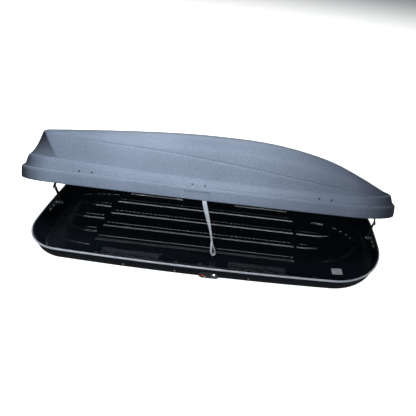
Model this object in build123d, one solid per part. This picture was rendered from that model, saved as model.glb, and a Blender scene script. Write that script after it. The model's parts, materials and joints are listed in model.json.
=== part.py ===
from build123d import *
import os
from math import atan2, cos, degrees, hypot, radians, sin, sqrt

# Roof cargo box, drawn with its lid open. +X is the nose, -Y the side that opens, +Z up.
# The origin is on the underside of the base, at the middle of its plan. Millimetres.
# Everything on the lid is drawn with the lid shut and then swung open about the hinge line.

# ---------------------------------------------------------------- driving dimensions
LENGTH = 1930.0            # over the lid's brim
WIDTH = 840.0              # over the lid's brim at mid length
SIDE_BOW = 25.6            # how much narrower each side is at the ends than at mid length
REAR_BOW = 15.8            # bulge of the rear edge in plan
NOSE_BOW = 19.3            # bulge of the nose edge in plan
REAR_CORNER_R = 222.0
NOSE_CORNER_R = 316.0
LEAST_CORNER_R = 40.0
SKIN = 4.0                 # thermoformed sheet
OPEN_ANGLE = 27.5          # lid opening, degrees

RIM_Z = 100.0              # top of the base
BASE_INSET = 23.0          # base wall inside the brim's outline
FLANGE_INSET = 15.0        # edge of the base's rim flange
BASE_SIDE = [(0, 72), (4, 55), (12, 40), (26, 30), (44, 25.5), (66, 23.5), (96, 23)]
NOSE_RAMP_X = 640.0        # the underside climbs from here to the nose
NOSE_RAMP_RISE = 28.0

# height and inset of the lid's lip, of the stage above it and of the body above that
BRIM_SIDE = [(69, 2), (71, 0.4), (75, 0), (116, 0.6), (123, 2.5)]
BRIM_SIDE += [(127, 6), (128.5, 10), (129.5, 14.5)]
STAGE_SIDE = [(131, 14.8), (150, 21), (165, 26.5), (169.5, 29), (172, 33), (172.5, 37)]
BODY_SIDE = [(172.5, 37), (222, 43), (275, 49), (279, 53), (310, 61)]
BODY_SIDE += [(335, 76), (353, 101), (366, 140), (374, 220)]
STAGE_TOP_Z = 172.5
ROOF_PROFILE = [(-1010, 290), (-904, 306), (-706, 326), (-448, 349), (-191, 366), (0, 372), (245, 368)]
ROOF_PROFILE += [(421, 348), (601, 309), (740, 255), (840, 210), (912, 176), (1000, 134)]
ROOF_DROP = 34.0           # fall of the roof from its middle to a brim side
TAIL_LOW = (-712.0, -931.0, 7.2)    # side corner X, middle X and fullness of the tail at the stage
TAIL_HIGH = (-790.0, -878.0, 3.2)   # the same at the top of the tail
TAIL_TOP_Z = 300.0

HINGE_Y = WIDTH / 2 - 4.0
HINGE_Z = 61.5
STATIONS = {"rear": -571.0, "middle": -46.0, "front": 542.0}    # hinges and catches along X

LIFTER_BASE = (22.4, 61.8)         # lower pivot of each lifter, Y and Z
LIFTER_LOWER = 130.2               # pivot to pivot
LIFTER_UPPER = 183.6
LIFTER_LOWER_ANGLE = 99.9          # from +Y towards +Z, lid open
LIFTER_UPPER_ANGLE = 31.2
LIFTER_SLOT = (82.2, 145.2)        # middle of the slot in the lid bracket, lid shut
LIFTER_SLOT_ANGLE = 95.7
LIFTER_SLOT_TRAVEL = 13.0
ARM_HALF_WIDTH = 11.0
PIVOT_R = 5.0
RUNNING = 0.05                     # radial clearance of a turning pin

LOCK_X = 58.0
LOCK_Z = 45.0
LOCK_TRAVEL = 14.0
ROD_Y = -372.0
ROD_Z = (70.0, 82.0)
ROD_THICK = 3.0
CAM_PIN_R = 3.0
CATCH_Z = 90.0
GUIDES_X = [-406.0, -143.0, 234.0]

PAD_X = (-410.0, 274.0)
PAD_Y = 298.0
PAD_SIZE = (352.0, 96.0)
PAD_RISE = 10.0
SLOT_LENGTH = 290.0
SLOT_WIDTH = 9.0
RIB_RISE = 9.0
RIB_WIDTH = 38.0
RIB_PITCH = 117.0
FLOOR_BREAK_REAR = -645.0          # gap between the rear and the middle ribs
FLOOR_BREAK_NOSE = 492.0
FLOOR_BREAK_HALF = 6.0             # half of each gap
RIB_SLOPE = 5.0
BEAD_WIDTH = 13.0
BEAD_SLOPE = 3.0
REAR_BEAD = (640.0, -20.9, 5.0)    # radius, sweep in degrees and rise of the beads at the rear
NOSE_BEAD = (275.0, 62.0, 12.0)    # the same at the nose

CLAMP_PLATE = (310.0, 72.0, 2.5)   # length, width and thickness
CLAMP_BAR = (8.0, 66.0, 2.0)       # one of the cross bars on a plate
CLAMP_BARS = 15
CLAMP_BAR_PITCH = 20.0

STICKER_X = (688.0, 744.0)
STICKER_Y = (-258.0, -214.0)
STICKER_THICK = 0.5

STRAP_WIDTH = 20.0
STRAP_THICK = 1.6
STRAP_X = -12.0

HINGE_AXIS = Axis((0, HINGE_Y, HINGE_Z), (-1, 0, 0))
parts = {}


def opened(shape):
    """A piece of the lid, swung from shut to fully open."""
    return shape.rotate(HINGE_AXIS, OPEN_ANGLE)


def block(low, high):
    """A box between two corners."""
    size = [h - l for l, h in zip(low, high)]
    return Pos(*[(l + h) / 2 for l, h in zip(low, high)]) * Box(*size)


def rod(start, end, radius):
    """A round bar between two points."""
    start, end = Vector(*start), Vector(*end)
    along = end - start
    plane = Plane(origin=start, z_dir=along)
    return extrude(plane * Circle(radius), along.length)


def half_width(x, inset=0.0):
    """Half the width of the outline at x, away from the corners."""
    reach = (LENGTH - REAR_BOW - NOSE_BOW) / 2
    radius = (reach ** 2 + SIDE_BOW ** 2) / (2 * SIDE_BOW)
    return WIDTH / 2 - inset - (radius - sqrt(radius ** 2 - x ** 2))


def outline(inset):
    """The plan outline, moved inwards: two bowed sides, two bowed ends, four round corners."""
    half_l = LENGTH / 2 - inset
    half_w = WIDTH / 2 - inset
    end_w = half_w - SIDE_BOW
    rear = -half_l + REAR_BOW
    nose = half_l - NOSE_BOW
    edges = [
        ThreePointArc((rear, -end_w), (0, -half_w), (nose, -end_w)),
        ThreePointArc((nose, -end_w), (half_l, 0), (nose, end_w)),
        ThreePointArc((nose, end_w), (0, half_w), (rear, end_w)),
        ThreePointArc((rear, end_w), (-half_l, 0), (rear, -end_w)),
    ]
    face = make_face(Curve() + edges)
    corners = face.vertices().sort_by(Axis.X)
    face = fillet(corners[:2], max(REAR_CORNER_R - inset, LEAST_CORNER_R))
    corners = face.vertices().group_by(Axis.X)[-1]
    return fillet(corners, NOSE_CORNER_R - inset)


def stack(levels):
    """A solid whose outline at each height has its own inset."""
    return loft([Pos(0, 0, z) * outline(inset) for z, inset in levels], ruled=True)


def prism_y(points, low_y=-500.0, high_y=500.0):
    """A solid with an outline in XZ, running along Y."""
    face = make_face(Polyline(*[(x, z) for x, z in points], close=True))
    return extrude(Plane.XZ.offset(-high_y) * face, high_y - low_y)


# ---------------------------------------------------------------- base shell
def rib(x_low, x_high, y, width, rise, point_low=0.0, point_high=0.0):
    """A raised rib of the floor with sloped sides; either end can run out to a point."""
    def plan(shrink):
        half = width / 2 - shrink
        low, high = x_low + shrink, x_high - shrink
        tips = [(low, y)] if point_low else [(low, y + half), (low, y - half)]
        shoulders_low = [(low + point_low, y - half)] if point_low else []
        end = [(high, y)] if point_high else [(high, y - half), (high, y + half)]
        before_end = [(high - point_high, y - half)] if point_high else []
        after_end = [(high - point_high, y + half)] if point_high else []
        last = [(low + point_low, y + half)] if point_low else []
        points = tips + shoulders_low + before_end + end + after_end + last
        return make_face(Polyline(*points, close=True))
    return loft([plan(0.0), Pos(0, 0, rise) * plan(RIB_SLOPE)], ruled=True)


def bead(start, radius, sweep, rise, side):
    """A bead of the floor that leaves start along X and bends in towards the middle."""
    x, y = start

    def plan(shrink):
        half = BEAD_WIDTH / 2 - shrink
        rings = []
        for r in (radius - half, radius + half):
            points = []
            for step in (0.0, 0.5, 1.0):
                turn = radians(sweep * step)
                points.append((x + r * sin(turn), y - side * (radius - r * cos(turn))))
            rings.append(points)
        inner, outer = rings
        curve = Curve() + [
            ThreePointArc(*inner),
            Line(inner[-1], outer[-1]),
            ThreePointArc(outer[-1], outer[1], outer[0]),
            Line(outer[0], inner[0]),
        ]
        return make_face(curve)
    return loft([plan(0.0), Pos(0, 0, rise) * plan(BEAD_SLOPE)], ruled=True)


def floor_pressings(grow):
    """Everything pressed up out of the floor, as solids standing on z = 0."""
    width = RIB_WIDTH + grow
    end = grow / 2
    rear = FLOOR_BREAK_REAR - FLOOR_BREAK_HALF + end
    middle = (FLOOR_BREAK_REAR + FLOOR_BREAK_HALF - end, FLOOR_BREAK_NOSE - FLOOR_BREAK_HALF + end)
    nose = FLOOR_BREAK_NOSE + FLOOR_BREAK_HALF - end
    found = []
    for y in (-1.5, -0.5, 0.5, 1.5):
        found.append(rib(*middle, y * RIB_PITCH, width, RIB_RISE))
    for y, reach in ((-1, 160.0), (0, 215.0), (1, 190.0)):
        low = rear - reach - grow
        found.append(rib(low, rear, y * RIB_PITCH, width, RIB_RISE, point_low=90.0))
    for y, reach in ((-0.5, 170.0), (0.5, 250.0)):
        high = nose + reach + grow
        found.append(rib(nose, high, y * RIB_PITCH, width, RIB_RISE, point_high=110.0))
    for x in PAD_X:
        for side in (-1, 1):
            low, high = x - PAD_SIZE[0] / 2 - end, x + PAD_SIZE[0] / 2 + end
            found.append(rib(low, high, side * PAD_Y, PAD_SIZE[1] + grow, PAD_RISE))
    return found


def clamp_plate(x, y):
    """A plate with cross bars that lies on a pad, around the slot."""
    length, width, thick = CLAMP_PLATE
    bar_length, bar_width, bar_rise = CLAMP_BAR
    low_z = SKIN + PAD_RISE
    high_z = low_z + thick
    plate = block((x - length / 2, y - width / 2, low_z), (x + length / 2, y + width / 2, high_z))
    for step in range(CLAMP_BARS):
        middle = x + (step - (CLAMP_BARS - 1) / 2) * CLAMP_BAR_PITCH
        low = (middle - bar_length / 2, y - bar_width / 2, high_z)
        high = (middle + bar_length / 2, y + bar_width / 2, high_z + bar_rise)
        plate += block(low, high)
    return plate


base_outer = stack([(z, inset) for z, inset in BASE_SIDE] + [(RIM_Z, BASE_INSET)])
base_cavity_levels = [(z + SKIN, inset + SKIN) for z, inset in BASE_SIDE[:-1]]
base_cavity_levels += [(RIM_Z + 20, BASE_INSET + SKIN)]
base_cavity = stack(base_cavity_levels)
half_length = LENGTH / 2
ramp_points = [(NOSE_RAMP_X, -50), (NOSE_RAMP_X, 0), (half_length, NOSE_RAMP_RISE), (half_length, -50)]
ramp = prism_y(ramp_points)
base_outer -= ramp
base_cavity -= Pos(0, 0, SKIN) * ramp
flange = Pos(0, 0, RIM_Z - SKIN) * extrude(outline(FLANGE_INSET), SKIN)
base_shell = base_outer + flange - base_cavity
for pressing in floor_pressings(0.0):
    base_shell += Pos(0, 0, SKIN) * pressing
for pressing in floor_pressings(-2 * SKIN):
    base_shell -= pressing

# the beads that follow the floor's corners, near and far side
for side in (-1, 1):
    rear_start = (FLOOR_BREAK_REAR, side * 2.0 * RIB_PITCH)
    base_shell += Pos(0, 0, SKIN) * bead(rear_start, *REAR_BEAD, side)
    nose_start = (FLOOR_BREAK_NOSE + 110, side * 1.47 * RIB_PITCH)
    base_shell += Pos(0, 0, SKIN) * bead(nose_start, *NOSE_BEAD, side)

# one long slot through each pad and its plate, for the clamps that hold the box on its crossbars
for x, end in zip(PAD_X, ("rear", "front")):
    for side, hand in ((-1, "right"), (1, "left")):
        slot = extrude(Pos(x, side * PAD_Y, -1) * SlotOverall(SLOT_LENGTH, SLOT_WIDTH), 40)
        parts[f"clamp_plate_{end}_{hand}"] = clamp_plate(x, side * PAD_Y) - slot
        base_shell -= slot

trim = stack([(94, 13.4), (95, 12.8), (101, 12.8), (102.2, 14)])
trim -= Pos(0, 0, 90) * extrude(outline(19), 20)
parts["base_rim_trim"] = trim - flange

sticker_region = block((STICKER_X[0], STICKER_Y[0], 0), (STICKER_X[1], STICKER_Y[1], RIM_Z / 2))
floor_layer = base_cavity - Pos(0, 0, STICKER_THICK) * base_cavity
parts["blank_sticker"] = floor_layer & sticker_region


# ---------------------------------------------------------------- lid shell
def tail_face(z, wall):
    """The plan region behind the tail at height z; wall moves the tail's surface into the box."""
    rise = min((z - STAGE_TOP_Z) / (TAIL_TOP_Z - STAGE_TOP_Z), 1.08)
    eased = 1 - max(0.0, 1 - rise) ** 1.8
    side_x, fullness = [low + rise * (high - low) for low, high in zip(TAIL_LOW[::2], TAIL_HIGH[::2])]
    middle_x = TAIL_LOW[1] + eased * (TAIL_HIGH[1] - TAIL_LOW[1])
    side_y = half_width(side_x, 37 + 14 * rise)
    points = []
    for y in (0, 110, 200, 270, 315, 345, 370, 390, 405):
        share = y / side_y
        x = middle_x + (side_x - middle_x) * share ** fullness
        slope = (side_x - middle_x) * fullness * share ** (fullness - 1) / side_y
        length = sqrt(1 + slope ** 2)
        points.append((x + wall / length, y - wall * slope / length))
    mirrored = [(x, -y) for x, y in reversed(points[1:])]
    edge = Spline(*mirrored, *points)
    low, high = edge @ 0, edge @ 1
    back = Polyline(high, (high.X, 700), (-1300, 700), (-1300, -700), (low.X, -700), low)
    return Pos(0, 0, z) * make_face(Curve() + [edge, back])


def tail(wall, drop):
    """Everything behind the tail, above the stage."""
    levels = (STAGE_TOP_Z, 195, 220, 250, 280, 310, 400)
    return loft([Pos(0, 0, -drop) * tail_face(z, wall) for z in levels], ruled=True)


def roof(drop):
    """Everything under the crowned roof."""
    faces = []
    for y in (-430, -330, -220, -110, 0, 110, 220, 330, 430):
        fall = drop + ROOF_DROP * (abs(y) / 430) ** 2.4
        top = Spline(*[(x, z - fall) for x, z in ROOF_PROFILE])
        low, high = top @ 0, top @ 1
        sides = Polyline(high, (high.X, 40), (low.X, 40), low)
        faces.append(Plane.XZ.offset(-y) * make_face(Curve() + [top, sides]))
    return loft(faces, ruled=True)


def lowered(levels):
    """The inner surface's levels."""
    return [(z - SKIN, inset + SKIN) for z, inset in levels]


body_levels = [(STAGE_TOP_Z - 1, BODY_SIDE[0][1])] + BODY_SIDE
lid_body = (stack(body_levels) & roof(0.0)) - tail(0.0, 0.0)
lid_outer = stack(BRIM_SIDE + STAGE_SIDE) + lid_body
cavity_brim = [(50, SKIN)] + lowered(BRIM_SIDE[3:] + STAGE_SIDE)
cavity_body = (stack(lowered(body_levels)) & roof(SKIN)) - tail(SKIN, SKIN)
lid_cavity = stack(cavity_brim) + cavity_body
lid_shell = lid_outer - lid_cavity


# ---------------------------------------------------------------- hinges on the far side
HINGE_LENGTH = 70.0
KNUCKLE_R = 5.5
PIN_R = 2.5
LEAF = 2.5
KNUCKLE_GAP = 0.4
RIVET_R = 2.4
RIVET_HEAD = (4.6, 1.8)    # radius and height
base_rivets = []
lid_rivets = []


def rivet(point, outward, shank, radius=RIVET_R, head=RIVET_HEAD):
    """A rivet whose head sits on a surface at point and whose shank runs back from it."""
    outward = Vector(*outward)
    plane = Plane(origin=Vector(*point), z_dir=outward)
    body = extrude(plane * Circle(radius), -shank)
    return body + extrude(plane * Circle(head[0]), head[1], taper=25)


def knuckle(x, low, high):
    """One barrel of a hinge between two offsets from its middle."""
    return rod((x + low, HINGE_Y, HINGE_Z), (x + high, HINGE_Y, HINGE_Z), KNUCKLE_R)


for place, x in STATIONS.items():
    half = HINGE_LENGTH / 2
    third = HINGE_LENGTH / 6
    bore = rod((x - half - 1, HINGE_Y, HINGE_Z), (x + half + 1, HINGE_Y, HINGE_Z), PIN_R + RUNNING)

    wall_y = half_width(x, BASE_INSET)
    leaf = block((x - half, wall_y - 6, 42), (x + half, wall_y + LEAF, 84)) - base_outer
    for low, high in ((-half, -third), (third, half)):
        leaf += knuckle(x, low, high)
        leaf += block((x + low, wall_y + 1, HINGE_Z - KNUCKLE_R), (x + high, HINGE_Y, HINGE_Z - 1.5))
    parts[f"hinge_base_leaf_{place}"] = leaf - bore
    for step in (-1, 1):
        base_rivets.append(rivet((x + step * 23, wall_y + LEAF, 75), (0, 1, 0), 8.0))

    skirt_y = half_width(x, SKIN + 0.5)
    barrel = knuckle(x, -third + KNUCKLE_GAP, third - KNUCKLE_GAP)
    web_low = (x - third + KNUCKLE_GAP, skirt_y - LEAF, HINGE_Z + 2.2)
    web_end = x + third - KNUCKLE_GAP
    web = block(web_low, (web_end, HINGE_Y, HINGE_Z + 5))
    neck = block(web_low, (web_end, skirt_y, 72))
    plate = block((x - half, skirt_y - LEAF, 70), (x + half, skirt_y + 6, 112)) & lid_cavity
    parts[f"hinge_lid_leaf_{place}"] = opened(barrel + web + neck + plate - bore)
    for step in (-1, 1):
        lid_rivets.append(rivet((x + step * 23, half_width(x + step * 23, 0.2), 94), (0, 1, 0), 9.0))

    pin = rod((x - half - 2, HINGE_Y, HINGE_Z), (x + half + 1.5, HINGE_Y, HINGE_Z), PIN_R)
    pin += rod((x - half - 4, HINGE_Y, HINGE_Z), (x - half, HINGE_Y, HINGE_Z), PIN_R + 1.6)
    parts[f"hinge_pin_{place}"] = pin


# ---------------------------------------------------------------- lid lifters at both ends
BRACKET_X = (934.0, 948.0)          # distances from the middle of the box, along X
LID_PLATE_X = (928.0, 931.0)
UPPER_X = (921.0, 924.5)
LOWER_X = (914.5, 918.0)
SPRING_RADIUS = 8.4
SPRING_WIRE = 2.4
SPRING_PITCH = SPRING_WIRE + 0.35
SPRING_TURNS = 4
lid_bracket_screws = []
bracket_screws = []


def swing(start, length, angle):
    """The far pivot of an arm, in Y and Z."""
    return (start[0] + length * cos(radians(angle)), start[1] + length * sin(radians(angle)))


def closed_point(point):
    """Where a point of the open lid lies when the lid is shut, in Y and Z."""
    turn = radians(OPEN_ANGLE)
    y, z = point[0] - HINGE_Y, point[1] - HINGE_Z
    return (HINGE_Y + y * cos(turn) - z * sin(turn), HINGE_Z + y * sin(turn) + z * cos(turn))


def along_x(side, span, point, radius):
    """A round bar along X at one end of the box."""
    return rod((side * span[0], *point), (side * span[1], *point), radius)


def slab(side, span, low, high):
    """A box at one end of the box; low and high are in Y and Z."""
    near, far = sorted((side * span[0], side * span[1]))
    return block((near, low[0], low[1]), (far, high[0], high[1]))


def arm(side, span, start, end):
    """A flat arm with round ends between two pivots."""
    length = hypot(end[0] - start[0], end[1] - start[1])
    angle = degrees(atan2(end[1] - start[1], end[0] - start[0]))
    low, high = sorted((side * span[0], side * span[1]))
    flat = Pos(length / 2, 0) * Rectangle(length, 2 * ARM_HALF_WIDTH - 2)
    flat += Circle(ARM_HALF_WIDTH) + Pos(length, 0) * Circle(ARM_HALF_WIDTH)
    along = (0, cos(radians(angle)), sin(radians(angle)))
    plane = Plane(origin=(low, start[0], start[1]), x_dir=along, z_dir=(1, 0, 0))
    return extrude(plane * flat, high - low)


elbow = swing(LIFTER_BASE, LIFTER_LOWER, LIFTER_LOWER_ANGLE)
lid_pivot = swing(elbow, LIFTER_UPPER, LIFTER_UPPER_ANGLE)
lid_pivot_shut = closed_point(lid_pivot)

for end, side in (("rear", -1), ("front", 1)):
    base_y, base_z = LIFTER_BASE
    plate = slab(side, BRACKET_X, (-82, 62), (44, 95)) & base_cavity
    plate += slab(side, (BRACKET_X[0], BRACKET_X[0] + 3), (base_y - 16, 44), (base_y + 16, 80))
    stud = along_x(side, (911.0, 935.0), LIFTER_BASE, PIVOT_R)
    stud += along_x(side, (909.5, LOWER_X[0] - 0.5), LIFTER_BASE, PIVOT_R + 3.5)
    parts[f"lifter_bracket_{end}"] = (plate & base_cavity) - stud
    parts[f"lifter_stud_{end}"] = stud
    for y in (-68, -33, 2):
        bracket_screws.append(rivet((side * BRACKET_X[0], y, 79), (-side, 0, 0), 7.5, 2.5, (5.2, 3.0)))

    lower = arm(side, LOWER_X, LIFTER_BASE, elbow)
    lower -= along_x(side, (905, 925), LIFTER_BASE, PIVOT_R + RUNNING)
    elbow_pin = along_x(side, (LOWER_X[0] - 1.5, 926.0), elbow, PIVOT_R)
    elbow_pin += along_x(side, (LOWER_X[0] - 2.5, LOWER_X[0]), elbow, PIVOT_R + 2.5)
    elbow_pin += along_x(side, (UPPER_X[1] + 0.6, 926.6), elbow, PIVOT_R + 2.5)
    parts[f"lifter_lower_arm_{end}"] = lower - elbow_pin
    parts[f"lifter_elbow_pin_{end}"] = elbow_pin

    upper = arm(side, UPPER_X, elbow, lid_pivot)
    upper -= along_x(side, (915, 930), elbow, PIVOT_R + RUNNING)
    slot_pin = along_x(side, (UPPER_X[0] - 1.0, 933.4), lid_pivot, PIVOT_R - 1)
    slot_pin += along_x(side, (931.6, 933.4), lid_pivot, PIVOT_R + 2)
    slot_pin += along_x(side, (UPPER_X[0] - 2.0, UPPER_X[0]), lid_pivot, PIVOT_R + 2)
    parts[f"lifter_upper_arm_{end}"] = upper - slot_pin
    parts[f"lifter_slot_pin_{end}"] = slot_pin

    coil_start = (side * (LOWER_X[1] + 2.2), base_y, base_z)
    coil_length = SPRING_TURNS * SPRING_PITCH
    coil = Helix(SPRING_PITCH, coil_length, SPRING_RADIUS, center=coil_start, direction=(side, 0, 0))
    section = Plane(origin=coil @ 0, z_dir=coil % 0) * Circle(SPRING_WIRE / 2)
    parts[f"lifter_spring_{end}"] = sweep(section, path=coil, is_frenet=True)

    slot_y, slot_z = LIFTER_SLOT
    hanger = slab(side, LID_PLATE_X, (slot_y - 16, slot_z - 20), (slot_y + 16, 176))
    hanger += slab(side, (LID_PLATE_X[1], 950), (slot_y - 16, 163.5), (slot_y + 16, 176))
    track_width = 2 * (PIVOT_R - 1) + 1.4
    track_length = LIFTER_SLOT_TRAVEL + 2 * PIVOT_R - 1
    track = SlotOverall(track_length, track_width, rotation=LIFTER_SLOT_ANGLE)
    low_x = min(side * (LID_PLATE_X[0] - 2), side * (LID_PLATE_X[1] + 0.4))
    slot_plane = Plane(origin=(low_x, slot_y, slot_z), x_dir=(0, 1, 0), z_dir=(1, 0, 0))
    hanger -= extrude(slot_plane * track, LID_PLATE_X[1] - LID_PLATE_X[0] + 2.4)
    hanger = hanger & lid_cavity
    screws = [rivet((side * LID_PLATE_X[0], slot_y + step, 167.0), (-side, 0, 0), 10.0, 1.8, (3.6, 2.0))
              for step in (-10, 10)]
    for screw in screws:
        hanger -= screw
    lid_bracket_screws += screws
    parts[f"lifter_lid_bracket_{end}"] = opened(hanger)


# ---------------------------------------------------------------- central locking on the near side
GUIDE_RIVET_Z = 46.0
HOOK_WIDTH = 22.0
STRIKER_Y = (-379.5, -377.0)
STRIKER_HALF = 16.0
STRIKER_LOW_Z = 80.0
STRIKER_RIVET_Z = 137.0
STRIKER_RIVET_STEP = 29.0
ESCUTCHEON = (31.0, 104.0, 38.0)    # middle X, length and height
ESCUTCHEON_Y = -402.0
CYLINDER_R = 11.5
CYLINDER_BACK_Y = -381.0
CAM_Y = (-381.0, -377.5)
CAM_REACH = LOCK_TRAVEL / sqrt(2)
CAM_CLEARANCE = 1.0
striker_rivets = []
guide_rivets = []
hook_rivets = []


def along_y(span, x, z, radius):
    """A round bar along Y."""
    return rod((x, span[0], z), (x, span[1], z), radius)


def stadium_y(span, x, z, length, height):
    """A long rounded block whose outline lies in XZ."""
    face = Plane(origin=(x, span[0], z), x_dir=(1, 0, 0), z_dir=(0, 1, 0)) * SlotOverall(length, height)
    return extrude(face, span[1] - span[0])


cylinder_hole = along_y((-420, -370), LOCK_X, LOCK_Z, CYLINDER_R + RUNNING)
escutcheon_x, escutcheon_length, escutcheon_height = ESCUTCHEON
escutcheon = stadium_y((ESCUTCHEON_Y, -385), escutcheon_x, LOCK_Z, escutcheon_length, escutcheon_height)
escutcheon -= base_outer
bezel = along_y((ESCUTCHEON_Y - 3.5, ESCUTCHEON_Y + 1.5), LOCK_X, LOCK_Z, CYLINDER_R + 4.5)
bezel = chamfer(bezel.edges().group_by(Axis.Y)[0], 1.5)
indicator = along_y((ESCUTCHEON_Y - 0.8, ESCUTCHEON_Y + 1.2), 0.0, LOCK_Z, 6.0)
status_dot = along_y((ESCUTCHEON_Y - 0.8, ESCUTCHEON_Y + 1.2), 12.0, LOCK_Z - 7.0, 2.6)
escutcheon = escutcheon - bezel - indicator - status_dot - cylinder_hole
inner_nut = along_y((-393, -384), LOCK_X, LOCK_Z, CYLINDER_R + 5.5)
inner_nut = (inner_nut & base_cavity) - cylinder_hole

cylinder = along_y((ESCUTCHEON_Y - 3.0, CYLINDER_BACK_Y), LOCK_X, LOCK_Z, CYLINDER_R)
key_low = (LOCK_X - 1.1, ESCUTCHEON_Y - 4, LOCK_Z - 5)
key_high = (LOCK_X + 1.1, ESCUTCHEON_Y + 3, LOCK_Z + 5)
key_slot = block(key_low, key_high)
cam_pin_x = LOCK_X + CAM_REACH / sqrt(2)
cam_pin_z = LOCK_Z + CAM_REACH / sqrt(2)
cam = along_y(CAM_Y, LOCK_X, LOCK_Z, CYLINDER_R - 2)
cam += along_y(CAM_Y, cam_pin_x, cam_pin_z, CAM_PIN_R + 2.5)
cam += along_y((CAM_Y[0], ROD_Y + 3.5), cam_pin_x, cam_pin_z, CAM_PIN_R)

parts["lock_escutcheon"] = escutcheon
parts["lock_bezel"] = bezel - cylinder_hole
parts["lock_indicator"] = indicator
parts["lock_status_dot"] = status_dot
parts["lock_nut"] = inner_nut
parts["lock_cylinder"] = cylinder - key_slot
parts["lock_cam"] = cam

rod_y = (ROD_Y - ROD_THICK / 2, ROD_Y + ROD_THICK / 2)
lock_rod = block((STATIONS["rear"] - 8, rod_y[0], ROD_Z[0]), (STATIONS["front"] + 46, rod_y[1], ROD_Z[1]))
lock_rod += block((cam_pin_x - 12, rod_y[0], cam_pin_z - 7), (cam_pin_x + 12, rod_y[1], ROD_Z[0] + 1))
fork = block((cam_pin_x - CAM_PIN_R - CAM_CLEARANCE, -400, cam_pin_z - 8),
             (cam_pin_x + CAM_PIN_R + CAM_CLEARANCE, -360, cam_pin_z + 8.5))
parts["lock_rod"] = lock_rod - fork

guides = []
for x in GUIDES_X:
    guide = block((x - 9, -400, 38), (x + 9, -366, 87)) & base_cavity
    guide -= block((x - 20, rod_y[0] - 0.6, ROD_Z[0] - 0.6), (x + 20, rod_y[1] + 0.6, ROD_Z[1] + 0.6))
    guide -= block((x - 20, -383, 30), (x + 20, -340, 62))
    guides.append(guide)
    guide_rivets.append(rivet((x, -half_width(x, 25.6), GUIDE_RIVET_Z), (0, -1, 0), 9.0, 2.2, (4.4, 1.8)))

# the stage wall leans, so the rivets' seats and directions follow it
(stage_low_z, stage_low_inset), (stage_high_z, stage_high_inset) = STAGE_SIDE[:2]
stage_lean = (stage_high_inset - stage_low_inset) / (stage_high_z - stage_low_z)
stage_inset = stage_low_inset + stage_lean * (STRIKER_RIVET_Z - stage_low_z)

for place, x in STATIONS.items():
    pin_x = x + STRIKER_HALF + LOCK_TRAVEL / 2 - 3
    pin_low, pin_high = CATCH_Z - 3, CATCH_Z + 3
    hook = block((pin_x - 4, rod_y[1], ROD_Z[0] + 1), (pin_x + HOOK_WIDTH - 4, rod_y[1] + 3, pin_high))
    hook += block((pin_x - 4, STRIKER_Y[0] - 2, pin_low), (pin_x + 4, rod_y[1] + 3, pin_high))
    hook_rivet = rivet((pin_x + 10, rod_y[1] + 3, ROD_Z[0] + 7), (0, 1, 0), 6.0, 1.8, (3.4, 1.4))
    parts[f"lock_hook_{place}"] = hook - hook_rivet
    hook_rivets.append(hook_rivet)
    parts["lock_rod"] -= hook_rivet

    plate = block((x - STRIKER_HALF, STRIKER_Y[0], STRIKER_LOW_Z), (x + STRIKER_HALF, STRIKER_Y[1], 150))
    plate += block((x - 40, STRIKER_Y[0], 122), (x + 40, STRIKER_Y[1], 150))
    for step in (-1, 1):
        foot = x + step * 30
        plate += block((foot - 11, -430, 128), (foot + 11, STRIKER_Y[1], 147))
    catch = block((x + 1, -400, CATCH_Z - 4.2), (x + STRIKER_HALF + 1, -360, CATCH_Z + 4.2))
    striker = (plate & lid_cavity) - catch
    for step in (-1, 1):
        at = x + step * STRIKER_RIVET_STEP
        seat = (at, -half_width(at, stage_inset) - 0.3, STRIKER_RIVET_Z)
        striker_rivets.append(rivet(seat, (0, -1, stage_lean), 15.0, 2.4, (4.4, 1.6)))
        striker -= striker_rivets[-1]
    parts[f"striker_{place}"] = opened(striker)

# ---------------------------------------------------------------- pull strap inside the near lip
ANCHOR_Z = 96.0
ANCHOR_SCREW_LENGTH = 3.8          # stops inside the lip, so nothing shows outside
anchor_y = -half_width(STRAP_X, SKIN + 0.6)
anchor_low = (STRAP_X - 17, anchor_y - 3, ANCHOR_Z - 13)
anchor_high = (STRAP_X + 17, anchor_y + 2.5, ANCHOR_Z + 13)
anchor = block(anchor_low, anchor_high) & lid_cavity
anchor_screws = []
for step in (-1, 1):
    seat = (STRAP_X + step * 11, anchor_y + 2.5, ANCHOR_Z + 6)
    anchor_screws.append(rivet(seat, (0, 1, 0), ANCHOR_SCREW_LENGTH, 2.0, (3.8, 1.8)))
tongue_low = (STRAP_X - STRAP_WIDTH / 2, anchor_y + 2.5, ANCHOR_Z - 13)
tongue_high = (STRAP_X + STRAP_WIDTH / 2, anchor_y + 4.5, ANCHOR_Z)
strap_tongue = block(tongue_low, tongue_high)
for screw in anchor_screws:
    anchor -= screw
parts["strap_anchor"] = opened(anchor + strap_tongue)
parts["strap_screws"] = opened(Part() + anchor_screws)

# The strap hangs from the tongue and leans a little towards the nose and the hinges.
strap_top = opened(Vertex(STRAP_X, anchor_y + 3.5, ANCHOR_Z - 13)).center()
STRAP_RUN = [(0, -8.3, -16), (5, 0, -58), (14, 16, -128), (23, 38, -208), (30, 54, -275), (34, 63, -330)]
STRAP_BENDS = [18, 60, 150, 150, 150]
strap_route = [strap_top] + [strap_top + Vector(*step) for step in STRAP_RUN]
strap_path = FilletPolyline(*strap_route, radius=STRAP_BENDS)
strap_start = Plane(origin=strap_path @ 0, x_dir=(1, 0, 0), z_dir=strap_path % 0)
parts["pull_strap"] = sweep(strap_start * Rectangle(STRAP_WIDTH, STRAP_THICK), path=strap_path)

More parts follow.
